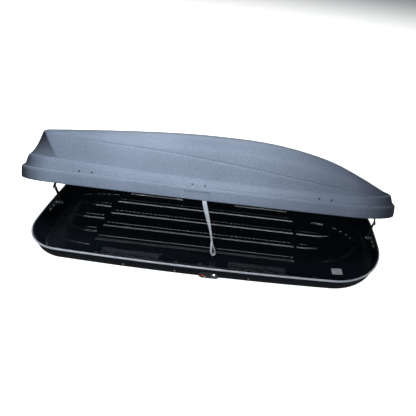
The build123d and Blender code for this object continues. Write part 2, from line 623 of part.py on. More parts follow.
LOOP_LENGTH = 96.0
LOOP_R = 13.0
LOOP_TURN = 35.0
down = (strap_route[-1] - strap_route[-2]).normalized()
across = Vector(cos(radians(LOOP_TURN)), sin(radians(LOOP_TURN)), 0)
across = (across - down * across.dot(down)).normalized()
loop_plane = Plane(origin=strap_route[-1], x_dir=across, z_dir=across.cross(down))
teardrop = make_hull((Pos(0, LOOP_LENGTH) * Circle(LOOP_R)).edges() + Circle(STRAP_THICK).edges())
hollow = make_hull((Pos(0, LOOP_LENGTH) * Circle(LOOP_R - STRAP_THICK)).edges()
                   + (Pos(0, 2 * STRAP_WIDTH) * Circle(STRAP_THICK)).edges())
loop = extrude(loop_plane * (teardrop - hollow), STRAP_WIDTH / 2, both=True)
parts["strap_loop"] = loop - parts["pull_strap"]

# ---------------------------------------------------------------- fasteners, and the holes they sit in
for fastener in base_rivets + bracket_screws + guide_rivets:
    base_shell -= fastener
base_shell -= cylinder_hole
parts["base_shell"] = base_shell
for fastener in lid_rivets + striker_rivets + lid_bracket_screws + anchor_screws:
    lid_shell -= fastener
parts["lid_shell"] = opened(lid_shell)
for place in STATIONS:
    for fastener in base_rivets:
        parts[f"hinge_base_leaf_{place}"] -= fastener
    for fastener in lid_rivets:
        parts[f"hinge_lid_leaf_{place}"] -= opened(fastener)
for end in ("rear", "front"):
    for fastener in bracket_screws:
        parts[f"lifter_bracket_{end}"] -= fastener
for fastener in guide_rivets:
    guides = [guide - fastener for guide in guides]
parts["lock_rod_guides"] = Part() + guides
parts["hinge_rivets_base"] = Part() + base_rivets
parts["hinge_rivets_lid"] = opened(Part() + lid_rivets)
parts["lifter_bracket_screws"] = Part() + bracket_screws
parts["lifter_lid_screws"] = opened(Part() + lid_bracket_screws)
parts["guide_rivets"] = Part() + guide_rivets
parts["hook_rivets"] = Part() + hook_rivets
parts["striker_rivets"] = opened(Part() + striker_rivets)

os.makedirs("parts", exist_ok=True)
for name, shape in parts.items():
    export_step(shape, f"parts/{name}.step")
    print(name, len(shape.solids()), round(shape.volume / 1000, 1), "cm3")
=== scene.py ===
import json
import math

import bpy
import numpy as np
from mathutils import Matrix, Vector


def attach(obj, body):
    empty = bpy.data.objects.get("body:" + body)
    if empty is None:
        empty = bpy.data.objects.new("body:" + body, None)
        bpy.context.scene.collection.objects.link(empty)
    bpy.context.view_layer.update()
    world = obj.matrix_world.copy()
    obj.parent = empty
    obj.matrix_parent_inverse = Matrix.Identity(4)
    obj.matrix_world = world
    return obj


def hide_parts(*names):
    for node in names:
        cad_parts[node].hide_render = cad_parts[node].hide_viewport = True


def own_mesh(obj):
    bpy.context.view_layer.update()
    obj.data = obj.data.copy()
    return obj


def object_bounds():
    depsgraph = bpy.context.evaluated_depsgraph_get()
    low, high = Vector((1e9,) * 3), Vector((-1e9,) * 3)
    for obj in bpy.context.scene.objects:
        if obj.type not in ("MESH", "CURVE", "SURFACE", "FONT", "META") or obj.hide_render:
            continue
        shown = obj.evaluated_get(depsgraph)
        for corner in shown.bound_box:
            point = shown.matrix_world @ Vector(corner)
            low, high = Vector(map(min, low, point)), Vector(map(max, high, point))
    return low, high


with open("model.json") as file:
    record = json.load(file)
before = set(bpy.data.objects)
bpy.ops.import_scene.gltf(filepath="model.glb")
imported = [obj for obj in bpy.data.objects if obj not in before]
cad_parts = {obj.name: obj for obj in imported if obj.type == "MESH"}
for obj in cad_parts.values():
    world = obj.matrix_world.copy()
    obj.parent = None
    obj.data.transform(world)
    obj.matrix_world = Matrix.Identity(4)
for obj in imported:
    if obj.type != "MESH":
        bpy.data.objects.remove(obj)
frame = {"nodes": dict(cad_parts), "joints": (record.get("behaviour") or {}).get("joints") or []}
cad_low, cad_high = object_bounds()

# Roof cargo box with its lid open. +X is the nose, -Y the side that opens, +Z up.
# Sizes are in millimetres and are turned into metres when a mesh is made.
# The lid is drawn shut and then swung open about the hinge line, as the CAD does.
MM = 0.001
LENGTH = 1930.0
WIDTH = 840.0
SIDE_BOW = 25.6                      # how far the middle of a side stands out beyond its ends
REAR_BOW = 15.8                      # the same for the rear end and the nose
NOSE_BOW = 19.3
REAR_CORNER_R = 222.0
NOSE_CORNER_R = 316.0
SKIN = 4.0                           # thickness of both shells
STAGE_TOP = 172.5                    # top of the wall above the lid's lip, with the lid shut
FLOOR_TOP = 4.0

hinge = next(joint for joint in frame["joints"] if joint["name"] == "lid_hinge")
HINGE = Vector(hinge["pos_m"])
OPEN_ANGLE = math.radians(-hinge["range_deg"][0])
OPENED = (Matrix.Translation(HINGE) @ Matrix.Rotation(OPEN_ANGLE, 4, "X").inverted()
          @ Matrix.Translation(-HINGE))


# ---------------------------------------------------------------- small helpers
def smoothstep(value, low, high):
    """0 below low, 1 above high, and a smooth rise between."""
    share = np.clip((value - low) / (high - low), 0.0, 1.0)
    return share * share * (3.0 - 2.0 * share)


def soft_min(a, b, reach):
    """The smaller of two heights, rounded where they are closer than reach."""
    near = np.maximum(reach - np.abs(a - b), 0.0) / reach
    return np.minimum(a, b) - near * near * reach * 0.25


def soft_max(a, b, reach):
    """The larger of two heights, rounded where they are closer than reach."""
    return -soft_min(-a, -b, reach)


def resample(points, shares):
    """Points along a polyline at shares of its length."""
    steps = np.hypot(*np.diff(points, axis=0).T)
    along = np.concatenate([[0.0], np.cumsum(steps)])
    wanted = np.asarray(shares) * along[-1]
    return np.column_stack([np.interp(wanted, along, points[:, k]) for k in range(points.shape[1])])


def spaced(values, least):
    """The values in order, without those that follow another by least or less."""
    values = np.unique(values)
    return values[np.concatenate([[True], np.diff(values) > least])]


def curve_through(points, count):
    """A smooth (centripetal) curve through a few 2-D points."""
    points = np.asarray(points, float)
    knots = np.concatenate([[0.0], np.cumsum(np.sqrt(np.hypot(*np.diff(points, axis=0).T)))])
    tangents = np.gradient(points, knots, axis=0)
    at = np.linspace(0.0, knots[-1], count)
    span = np.clip(np.searchsorted(knots, at, side="right") - 1, 0, len(knots) - 2)
    width = knots[span + 1] - knots[span]
    u = ((at - knots[span]) / width)[:, None]
    width = width[:, None]
    start, end = points[span], points[span + 1]
    slope_start, slope_end = tangents[span] * width, tangents[span + 1] * width
    return ((2 * u ** 3 - 3 * u ** 2 + 1) * start + (u ** 3 - 2 * u ** 2 + u) * slope_start
            + (3 * u ** 2 - 2 * u ** 3) * end + (u ** 3 - u ** 2) * slope_end)


def make_object(name, verts, faces):
    """A smooth-shaded mesh object from points in millimetres."""
    mesh = bpy.data.meshes.new(name)
    mesh.from_pydata((np.asarray(verts) * MM).tolist(), [], [list(map(int, face)) for face in faces])
    mesh.validate()
    mesh.shade_smooth()
    obj = bpy.data.objects.new(name, mesh)
    bpy.context.scene.collection.objects.link(obj)
    return obj


def apply_modifiers(obj):
    """Turns an object's modifiers into mesh."""
    graph = bpy.context.evaluated_depsgraph_get()
    made = bpy.data.meshes.new_from_object(obj.evaluated_get(graph))
    obj.modifiers.clear()
    obj.data = made


def thicken(obj):
    """Gives a sheet the thickness of the box's plastic, on the side away from its normals."""
    sheet = obj.modifiers.new("sheet", "SOLIDIFY")
    sheet.thickness = SKIN * MM
    sheet.offset = -1.0
    sheet.use_quality_normals = True
    apply_modifiers(obj)


# ---------------------------------------------------------------- plan outline
def circle_through(a, b, c):
    """Centre and radius of the circle through three points."""
    (ax, ay), (bx, by), (cx, cy) = a, b, c
    twice = 2 * (ax * (by - cy) + bx * (cy - ay) + cx * (ay - by))
    squares = (ax * ax + ay * ay, bx * bx + by * by, cx * cx + cy * cy)
    x = (squares[0] * (by - cy) + squares[1] * (cy - ay) + squares[2] * (ay - by)) / twice
    y = (squares[0] * (cx - bx) + squares[1] * (ax - cx) + squares[2] * (bx - ax)) / twice
    return np.array([x, y]), math.hypot(ax - x, ay - y)


def arc(centre, radius, start, end, count):
    """Points of an arc between two points on it."""
    low = math.atan2(start[1] - centre[1], start[0] - centre[0])
    turn = math.atan2(end[1] - centre[1], end[0] - centre[0]) - low
    turn = (turn + math.pi) % (2 * math.pi) - math.pi
    angles = low + turn * np.linspace(0.0, 1.0, count)
    return centre + radius * np.column_stack([np.cos(angles), np.sin(angles)])


def corner(side, end, radius, toward):
    """Centre of a fillet inside two circles, and where it touches each of them."""
    (c1, r1), (c2, r2) = side, end
    reach1, reach2 = r1 - radius, r2 - radius
    span = c2 - c1
    length = math.hypot(*span)
    along = (reach1 ** 2 - reach2 ** 2 + length ** 2) / (2 * length)
    height = math.sqrt(max(reach1 ** 2 - along ** 2, 0.0))
    unit = span / length
    normal = np.array([-unit[1], unit[0]])
    options = [c1 + unit * along + normal * height * sign for sign in (-1, 1)]
    centre = min(options, key=lambda p: math.hypot(*(p - toward)))
    touch1 = c1 + (centre - c1) * r1 / reach1
    touch2 = c2 + (centre - c2) * r2 / reach2
    return centre, touch1, touch2


def half_outline(inset):
    """Near half of the plan outline, from the middle of the rear end to the middle of the nose."""
    half_l = LENGTH / 2 - inset
    half_w = WIDTH / 2 - inset
    end_w = half_w - SIDE_BOW
    rear, nose = -half_l + REAR_BOW, half_l - NOSE_BOW
    side = circle_through((rear, -end_w), (0, -half_w), (nose, -end_w))
    rear_end = circle_through((rear, -end_w), (-half_l, 0), (rear, end_w))
    nose_end = circle_through((nose, -end_w), (half_l, 0), (nose, end_w))
    rear_r, nose_r = REAR_CORNER_R - inset, NOSE_CORNER_R - inset
    rear_c, rear_side, rear_touch = corner(side, rear_end, rear_r, np.array([rear, -end_w]))
    nose_c, nose_side, nose_touch = corner(side, nose_end, nose_r, np.array([nose, -end_w]))
    pieces = [
        arc(*rear_end, (-half_l, 0), rear_touch, 60),
        arc(rear_c, rear_r, rear_touch, rear_side, 80),
        arc(*side, rear_side, nose_side, 200),
        arc(nose_c, nose_r, nose_side, nose_touch, 80),
        arc(*nose_end, nose_touch, (half_l, 0), 60),
    ]
    return np.vstack([pieces[0]] + [piece[1:] for piece in pieces[1:]])


def mirrored_ring(near):
    """A whole ring from its near half, which runs from the rear middle to the nose middle."""
    far = near[-2:0:-1].copy()
    far[:, 1] *= -1
    return np.vstack([near, far])


def ring_faces(rows, count):
    """Quads between rings of equal size."""
    row = np.arange(rows - 1)[:, None] * count
    this = np.arange(count)[None, :]
    after = (this + 1) % count
    quads = [row + this, row + after, row + count + after, row + count + this]
    return np.stack(quads, axis=-1).reshape(-1, 4)


def patch_faces(grid):
    """Quads of a grid of vertex numbers."""
    quads = [grid[:-1, :-1], grid[1:, :-1], grid[1:, 1:], grid[:-1, 1:]]
    return np.stack(quads, axis=-1).reshape(-1, 4)


def patch_border(first, ends, sides):
    """Vertex numbers of a closing patch, whose border is the last ring; inner places are -1."""
    total = 2 * (2 * ends + sides)
    grid = -np.ones((sides + 1, 2 * ends + 1), int)
    grid[:, 0] = first + ends + np.arange(sides + 1)
    grid[:, -1] = first + 3 * ends + 2 * sides - np.arange(sides + 1)
    grid[0, :] = first + (ends - np.arange(2 * ends + 1)) % total
    grid[-1, :] = first + ends + sides + np.arange(2 * ends + 1)
    return grid


# ---------------------------------------------------------------- lid
TAIL_LOW = (-712.0, -931.0, 7.2)     # side corner X, middle X and fullness at the stage
TAIL_HIGH = (-796.0, -886.0, 3.2)    # the same at the top of the tail
TAIL_TOP = 300.0
TAIL_TOP_LEAN = 0.2                  # above this inset the tail leans forward by this share of it
TAIL_TOP_INSET = 60.0
TAIL_RISE_LIMIT = 1.08               # the tail's edges stop leaning at this share of its height
TAIL_SCOOP = 1.8                     # power of the scoop's curve up the middle of the tail
TAIL_CORNER_X = -760.0               # the tail's corner climbs as the crown does here
TAIL_SLIDE_X = 330.0                 # the side's columns slide towards the tail beyond this distance
NOSE_CUT = 690.0
ROOF_GUIDE = [(-1010, 290), (-904, 306), (-706, 326), (-448, 349), (-191, 366), (0, 372), (245, 368),
              (421, 348), (601, 309), (740, 255), (840, 210), (912, 176), (1000, 134)]
ROOF_TOP = 372.0
ROOF_DROP = 34.0                     # the roof is lower by this at ROOF_HALF_WIDTH from its middle
ROOF_HALF_WIDTH = 430.0
ROOF_POWER = 2.4
LEDGE_DROP = 10.0                    # the shoulder line below the stage's top: level, slope and bend
LEDGE_SLOPE = 9.2
LEDGE_BEND = 24.6
LEDGE_RISE = (136.0, 166.0)          # the stage wall takes up the shoulder line's bow between these
CREASE_GUIDE = [(-600, 277), (-214, 275), (254, 241), (480, 220), (690, 200)]
# height and inset of the lip and the stage wall, and level and inset of the crowned body
LIP = [(69, 3.2), (69.3, 1.2), (71, 0.3), (75, 0), (88, 0), (102, 0.1), (106, 0.2), (109, 0.3),
       (113, 0.5), (117, 0.9), (121, 1.9), (124.5, 3.8), (127.2, 6.8), (128.4, 9.6), (128.2, 11.4),
       (125.9, 12.8), (125.7, 14.2), (128.6, 15.2), (131.5, 15.8)]
STAGE = [(136, 17.2), (142, 19), (148, 20.9), (154, 22.8), (159, 24.6), (163, 26.2), (166, 27.6),
         (168.8, 29.2), (170.9, 31.3), (172.1, 33.6), (172.5, 36)]
CROWN = [(172.5, 38.5), (200, 41.6), (222, 43), (250, 46), (275, 49.5), (300, 54.5), (310, 59), (327, 70),
         (338, 79), (350, 91), (363, 106), (378, 124), (400, 145)]
# levels of the crowned body's rings: shares below the crease, steps around it, shares and levels above
LOW_SHARES = (0.0, 0.03, 0.1, 0.22, 0.4, 0.6, 0.8)
CREASE_ROWS = (-12, -6, -2.6, -1.2, 0.0, 1.2, 2.6, 5, 9, 15)
HIGH_SHARES = (0.5,)
HIGH_LEVELS = (300, 306, 313, 321, 330, 340, 350, 362, 375, 387, 400)
CREASE_REACH = (-640.0, 720.0)       # the crease's level stays the same beyond these X
CREASE_FADE_IN = (-640.0, -420.0)
CREASE_FADE_OUT = (560.0, 700.0)
CREASE_STEP = 2.6                    # the side steps in by this above the crease
CREASE_STEP_RISE = (-1.0, 1.4)       # heights over the crease where the step comes
CREASE_STEP_FADE = (20.0, 75.0)      # and where most of it runs out again
CREASE_GROOVE = 2.2
CREASE_GROOVE_HALF = 2.2
GRIP_X = (-112.0, 12.0)
GRIP_TOP = 107.0
GRIP_DEPTH = 2.4
GRIP_EASE_REAR = 5.0
GRIP_EASE_NOSE = 2.0
GRIP_EASE_TOP = 3.0
LEDGE_ROWS = 6
END_CELLS = 46
LID_COLUMN_PITCH = 9.5
CLOSE_STEPS = np.array([-8.0, -5.0, -3.0, -1.5, 0.0, 1.5, 3.0, 5.0, 8.0])    # around a sudden step

roof_curve = curve_through(ROOF_GUIDE, 400)
crown_curve = curve_through(CROWN, 300)
crease_cubic = np.polyfit(*np.array(CREASE_GUIDE, float).T, 3)


def ridge(x):
    """Height of the roof along its middle."""
    return np.interp(x, roof_curve[:, 0], roof_curve[:, 1])


def ledge_height(x):
    """The shoulder line: it bows down at mid length and climbs to the tail."""
    metres = np.clip(x, TAIL_LOW[0], 930.0) * MM
    return STAGE_TOP - LEDGE_DROP - LEDGE_SLOPE * metres + LEDGE_BEND * metres ** 2


def crease_level(x):
    """Level of the crease along the side, before the crown is scaled."""
    return np.polyval(crease_cubic, np.clip(x, *CREASE_REACH))


def crown_scale(x):
    """How much of the crown's full height is left at x."""
    full = np.clip((ridge(x) - STAGE_TOP) / (ROOF_TOP - STAGE_TOP), 0.02, 1.0)
    return np.where(x > 0, full, 1.0 - 0.35 * (1.0 - full))


def crown_height(x, y, level):
    """Height of the crowned body where its side would be at a level."""
    low = ledge_height(x)
    scale = crown_scale(x)
    roof = ridge(x) - ROOF_DROP * (np.abs(y) / ROOF_HALF_WIDTH) ** ROOF_POWER
    return soft_min(low + (level - STAGE_TOP) * scale, soft_max(roof, low, 8.0), 26.0 * scale + 1.0)


def tail_x(share, z):
    """X of the scooped tail at a height, at a share of the way from its middle to its corner."""
    rise = np.clip((z - STAGE_TOP) / (TAIL_TOP - STAGE_TOP), 0.0, TAIL_RISE_LIMIT)
    eased = 1.0 - np.maximum(0.0, 1.0 - rise) ** TAIL_SCOOP
    at_side = TAIL_LOW[0] + rise * (TAIL_HIGH[0] - TAIL_LOW[0])
    at_middle = TAIL_LOW[1] + eased * (TAIL_HIGH[1] - TAIL_LOW[1])
    fullness = TAIL_LOW[2] + rise * (TAIL_HIGH[2] - TAIL_LOW[2])
    return at_middle + (at_side - at_middle) * share ** fullness


def lid_columns():
    """X of the columns along the side, closer together where the lip's grip begins and ends."""
    even = np.arange(TAIL_LOW[0], NOSE_CUT, LID_COLUMN_PITCH)
    ends = [TAIL_LOW[0] + 2, TAIL_LOW[0] + 5, NOSE_CUT]
    grip_ends = [end + CLOSE_STEPS for end in GRIP_X]
    return spaced(np.concatenate([even, ends, *grip_ends]), 1.0)


columns = lid_columns()
SIDE_CELLS = len(columns) - 1


def outline_half_ring(inset):
    """Near half of a lid ring that keeps the plan outline all the way round."""
    outline = half_outline(inset)
    at_tail = np.interp(TAIL_LOW[0], outline[:, 0], outline[:, 1])
    at_nose = np.interp(NOSE_CUT, outline[:, 0], outline[:, 1])
    even = np.linspace(0.0, 1.0, END_CELLS + 1)
    rear = resample(np.vstack([outline[outline[:, 0] < TAIL_LOW[0]], (TAIL_LOW[0], at_tail)]), even)
    nose = resample(np.vstack([(NOSE_CUT, at_nose), outline[outline[:, 0] > NOSE_CUT]]), even)
    side = np.column_stack([columns, np.interp(columns, outline[:, 0], outline[:, 1])])
    return np.vstack([rear, side[1:], nose[1:]])


def crown_half_ring(levels):
    """Near half of a ring of the crowned body; levels are along the side, and the rear is the tail."""
    insets = np.interp(levels, crown_curve[:, 0], crown_curve[:, 1])
    outline = half_outline(insets[-1])

    # the side, whose rear end slides back along the leaning edge of the tail
    corner_z = STAGE_TOP + (levels[0] - STAGE_TOP) * float(crown_scale(np.array(TAIL_CORNER_X)))
    forward = TAIL_TOP_LEAN * max(0.0, insets[0] - TAIL_TOP_INSET)
    slide = smoothstep(-columns, TAIL_SLIDE_X, -TAIL_LOW[0])
    x = columns + (float(tail_x(1.0, corner_z)) + forward - TAIL_LOW[0]) * slide
    y = np.interp(x, outline[:, 0], outline[:, 1]) + insets - insets[-1]
    over = levels - crease_level(x)
    shown = smoothstep(x, *CREASE_FADE_IN) * (1.0 - smoothstep(x, *CREASE_FADE_OUT))
    left = 1.0 - 0.75 * smoothstep(over, *CREASE_STEP_FADE)
    step = CREASE_STEP * smoothstep(over, *CREASE_STEP_RISE) * left
    groove = CREASE_GROOVE * np.exp(-(over / CREASE_GROOVE_HALF) ** 2)
    z = crown_height(x, y, levels)
    y = y + shown * (step + groove)
    side = np.column_stack([x, y, z])

    # the tail, from the middle to the corner
    share = 1.0 - (1.0 - np.linspace(0.0, 1.0, END_CELLS + 1)) ** 1.35
    tail_z = np.full(END_CELLS + 1, corner_z)
    for _ in range(3):
        tail = tail_x(share, tail_z) + forward
        tail_z = crown_height(tail, share * y[0], levels[0])
    rear = np.column_stack([tail, share * y[0], tail_z])

    # the nose follows the plan outline
    nose = np.vstack([(NOSE_CUT, y[-1]), outline[outline[:, 0] > NOSE_CUT]])
    nose = resample(nose, np.linspace(0.0, 1.0, END_CELLS + 1))
    nose = np.column_stack([nose, crown_height(nose[:, 0], nose[:, 1], levels[-1])])
    return np.vstack([rear, side[1:], nose[1:]])


def lid_half_rings():
    """All half rings of the lid's outer skin, from the bottom edge up to the closing patch."""
    rows = []
    for z, inset in LIP + STAGE:
        half = outline_half_ring(inset)
        lift = (ledge_height(half[:, 0]) - STAGE_TOP) * smoothstep(z, *LEDGE_RISE)
        rows.append(np.column_stack([half, z + lift]))
    level = crease_level(columns)
    low, high = level + CREASE_ROWS[0], level + CREASE_ROWS[-1]
    flat = np.zeros(len(columns))
    levels = [STAGE_TOP + (low - STAGE_TOP) * share for share in LOW_SHARES]
    levels += [level + offset for offset in CREASE_ROWS]
    levels += [high + (HIGH_LEVELS[0] - high) * share for share in HIGH_SHARES]
    levels += [flat + value for value in HIGH_LEVELS]
    crown = [crown_half_ring(each) for each in levels]
    shoulder = rows[-1]
    for step in range(1, LEDGE_ROWS):
        rows.append(shoulder + (crown[0] - shoulder) * step / LEDGE_ROWS)
    return rows + crown


def coons(grid_points):
    """Fills the inside of a grid of points from its four borders."""
    rows, cols = grid_points.shape[:2]
    u = np.linspace(0.0, 1.0, rows)[:, None, None]
    v = np.linspace(0.0, 1.0, cols)[None, :, None]
    first, last = grid_points[:, :1], grid_points[:, -1:]
    rear, nose = grid_points[:1], grid_points[-1:]
    corners = ((1 - u) * (1 - v) * first[:1] + (1 - u) * v * last[:1]
               + u * (1 - v) * first[-1:] + u * v * last[-1:])
    return (1 - v) * first + v * last + (1 - u) * rear + u * nose - corners


def closed_by_patch(rings, ends, sides, inner):
    """Vertices and faces of stacked rings closed by a patch; inner gives the patch's points."""
    count = len(rings[0])
    verts = np.vstack(rings)
    first = (len(rings) - 1) * count
    grid = patch_border(first, ends, sides)
    border = np.where((grid >= 0)[..., None], verts[grid], 0.0)
    points = inner(border)
    free = grid < 0
    grid[free] = len(verts) + np.arange(free.sum())
    verts = np.vstack([verts, points[free]])
    return verts, np.vstack([ring_faces(len(rings), count), patch_faces(grid)])


def roof_patch(border):
    """The top of the lid inside the last ring."""
    points = coons(border)
    points[..., 2] = crown_height(points[..., 0], points[..., 1], HIGH_LEVELS[-1])
    return points


def press_grip(vertices, outer_count):
    """The shallow finger grip in the outside of the lip on the near side; the inside stays plain."""
    places = np.empty(len(vertices) * 3)
    vertices.foreach_get("co", places)
    places = places.reshape(-1, 3)
    x, y, z = places[:outer_count].T / MM
    begins = smoothstep(x, GRIP_X[0] - GRIP_EASE_REAR, GRIP_X[0] + GRIP_EASE_REAR)
    ends = smoothstep(x, GRIP_X[1] - GRIP_EASE_NOSE, GRIP_X[1] + GRIP_EASE_NOSE)
    below = 1 - smoothstep(z, GRIP_TOP - GRIP_EASE_TOP, GRIP_TOP + GRIP_EASE_TOP)
    places[:outer_count, 1] += np.where(y < 0, GRIP_DEPTH * (begins * (1 - ends)) * below, 0.0) * MM
    vertices.foreach_set("co", places.ravel())


def lid_skin():
    """The whole lid as a sheet with its own thickness."""
    rings = [mirrored_ring(half) for half in lid_half_rings()]
    verts, faces = closed_by_patch(rings, END_CELLS, SIDE_CELLS, roof_patch)
    obj = make_object("lid_skin", verts, faces)
    thicken(obj)
    press_grip(obj.data.vertices, len(verts))
    obj.data.transform(OPENED)
    return obj


# ---------------------------------------------------------------- base
BASE_PATCH_X = (-850.0, 812.0)       # corners of the floor's grid, at the middle of the plan's corners
# height and inset of the rim flange and of the wall below it
FLANGE = [(96.6, 15.4), (98.2, 15.0), (99.4, 15.2), (100, 16.2), (100, 19), (100, 22.5), (99.7, 24.3),
          (98.8, 25.8), (97.2, 26.8), (94, 27.2)]
TUB_WALL = [(94, 27.2), (70, 28), (48, 29.7), (30, 34), (16, 44), (8, 59), (4.8, 70), (4, 80), (4, 84)]
TUB_WALL_ROWS = 22
NOSE_RAMP_X = 640.0
NOSE_RAMP_RISE = 28.0
FLOOR_BREAKS = (-645.0, 492.0)
BREAK_GAP = 6.0                      # a rib stops this far from a floor break
MIDDLE_RIBS = (-1.5, -0.5, 0.5, 1.5)                     # row of each rib between the breaks
REAR_RIBS = ((-1, 160.0), (0, 215.0), (1, 190.0))        # row and length of the pointed ribs
NOSE_RIBS = ((-0.5, 170.0), (0.5, 250.0))
REAR_POINT = 90.0                    # length of the pointed ribs' points
NOSE_POINT = 110.0
REAR_BEAD_Y = 234.0
REAR_BEAD = (640.0, -20.9, 6.5, 7.0)                     # radius, sweep, half width and rise of a bead
NOSE_BEAD_Y = 172.0
NOSE_BEAD = (275.0, 62.0, 6.5, 12.0)
NOSE_BEAD_GAP = 110.0                # the nose beads begin this far from the floor break
BEAD_SLOPE = 2.6
RIB_PITCH = 117.0
RIB_HALF = 19.0
RIB_RISE = 9.0
RIB_SLOPE = 4.6
EDGE_EASE = 0.6
DISH_DEPTH = 3.4                     # the top of a rib is dished, with slanting hatching in the dish
DISH_EDGE = (7.2, 10.4)              # distances from the rib's foot where the dish begins and is full
HATCH_RISE = 0.8
HATCH_PITCH = 26.0
HATCH_LEAN = 0.6
PAD_X = (-410.0, 274.0)
PAD_Y = 298.0
PAD_HALF = (176.0, 48.0)
PAD_RISE = 10.0
SLOT_HALF = (145.0, 4.5)
SLOT_ARC_POINTS = 9
SLOT_CUTTER_Z = (-30.0, 60.0)
FLOOR_EASE = 5.0                     # the wall runs into the sloping floor within this height
PRESS_EASE = 2.0                     # and the pressings run into the wall within this height
PRESS_TOP = 30.0                     # nothing above this height is pressed
STRAIGHT_ROWS = 205.0                # floor rows nearer to the middle than this run along X
LAST_ROW = 336.0
OUTER_ROW_PITCH = 2.6
FLOOR_COLUMN_PITCH = 6.5
RIB_LINES = RIB_HALF - np.array([-2.0, 0.0, 1.5, 3.1, 4.6, 5.6, 7.2, 8.3, 9.3, 10.4, 12.0, 15.0])
ROWS_EASE_X = 660.0                  # distance from the patch's middle where its rows begin to ease
ENDS_EASE = 190.0                    # length over which the patch's ends take up the rings' curve


def ramp_height(x):
    """The floor climbs towards the nose."""
    return np.maximum(0.0, x - NOSE_RAMP_X) * NOSE_RAMP_RISE / (LENGTH / 2 - NOSE_RAMP_X)


def rib_height(x, y, span, middle, half, rise, points=(0.0, 0.0)):
    """A dished and hatched rib with sloped sides; an end with a length in points runs out to a point."""
    across = np.abs(y - middle)
    inside = np.minimum(half - across, np.minimum(x - span[0], span[1] - x))
    for length, reach in ((points[0], x - span[0]), (points[1], span[1] - x)):
        if length:
            slant = math.hypot(length, half)
            inside = np.minimum(inside, (reach * half / length - across) * length / slant)
    waves = HATCH_RISE * np.sin(2 * math.pi * (x + HATCH_LEAN * y) / HATCH_PITCH)
    dish = (DISH_DEPTH + waves) * smoothstep(inside, *DISH_EDGE)
    return rise * smoothstep(inside, -EDGE_EASE, RIB_SLOPE + EDGE_EASE) - dish


def bead_height(x, y, start, radius, sweep, half, rise):
    """A narrow bead along an arc that leaves start along X and turns towards the middle."""
    out = 1.0 if start[1] > 0 else -1.0
    dx, dy = x - start[0], (y - start[1]) * out + radius
    turn = np.degrees(np.arctan2(dx, dy)) * (1.0 if sweep > 0 else -1.0)
    beyond = np.maximum(-turn, turn - abs(sweep)) * math.pi / 180.0 * radius
    inside = np.minimum(half - np.abs(np.hypot(dx, dy) - radius), -beyond)
    return rise * smoothstep(inside, -0.3, BEAD_SLOPE)


def pressings(x, y):
    """Height of everything pressed up out of the floor."""
    rear, nose = FLOOR_BREAKS
    behind, ahead = rear - BREAK_GAP, nose + BREAK_GAP
    ribs = [((rear + BREAK_GAP, nose - BREAK_GAP), row, (0.0, 0.0)) for row in MIDDLE_RIBS]
    ribs += [((behind - length, behind), row, (REAR_POINT, 0.0)) for row, length in REAR_RIBS]
    ribs += [((ahead, ahead + length), row, (0.0, NOSE_POINT)) for row, length in NOSE_RIBS]
    found = np.zeros(np.shape(x))
    for span, row, points in ribs:
        found = np.maximum(found, rib_height(x, y, span, row * RIB_PITCH, RIB_HALF, RIB_RISE, points))
    for side in (-1, 1):
        for middle in PAD_X:
            span = (middle - PAD_HALF[0], middle + PAD_HALF[0])
            found = np.maximum(found, rib_height(x, y, span, side * PAD_Y, PAD_HALF[1], PAD_RISE))
        rear_start, nose_start = (rear, side * REAR_BEAD_Y), (nose + NOSE_BEAD_GAP, side * NOSE_BEAD_Y)
        found = np.maximum(found, bead_height(x, y, rear_start, *REAR_BEAD))
        found = np.maximum(found, bead_height(x, y, nose_start, *NOSE_BEAD))
    return found


def floor_lines():
    """Distances of the floor's rows from the middle, and X of its columns, close at the ribs' edges."""
    rows = [0.0]
    for row in (0.0, 0.5, 1.0, 1.5):
        rows += [*(row * RIB_PITCH + RIB_LINES), *(row * RIB_PITCH - RIB_LINES)]
    rows += [*np.arange(STRAIGHT_ROWS, LAST_ROW - 3, OUTER_ROW_PITCH), LAST_ROW]
    ends = [end + side * BREAK_GAP for end in FLOOR_BREAKS for side in (-1, 1)]
    ends += [middle + side * PAD_HALF[0] for middle in PAD_X for side in (-1, 1)]
    even = np.arange(BASE_PATCH_X[0], BASE_PATCH_X[1], FLOOR_COLUMN_PITCH)
    found = np.concatenate([even, [BASE_PATCH_X[1]]] + [end + CLOSE_STEPS for end in ends])
    return spaced(np.abs(np.round(rows, 2)), 0.7), spaced(found.round(2), 1.1)


floor_rows, floor_columns = floor_lines()
ROW_CELLS = len(floor_rows) - 1
COLUMN_CELLS = len(floor_columns) - 1


def end_points(end):
    """Points of an end of the outline at the floor rows; end runs from the side to the middle."""
    y = floor_rows / floor_rows[-1] * end[0, 1]
    return np.column_stack([np.interp(y, end[:, 1], end[:, 0]), y])


def base_half_ring(inset):
    """Near half of a base ring: its columns are the floor's columns, and its ends the floor's rows."""
    outline = half_outline(inset)
    side = np.column_stack([floor_columns, np.interp(floor_columns, outline[:, 0], outline[:, 1])])
    rear = np.vstack([outline[outline[:, 0] < floor_columns[0]], side[0]])
    nose = np.vstack([side[-1], outline[outline[:, 0] > floor_columns[-1]]])
    return np.vstack([end_points(rear[::-1]), side[1:], end_points(nose)[::-1][1:]])


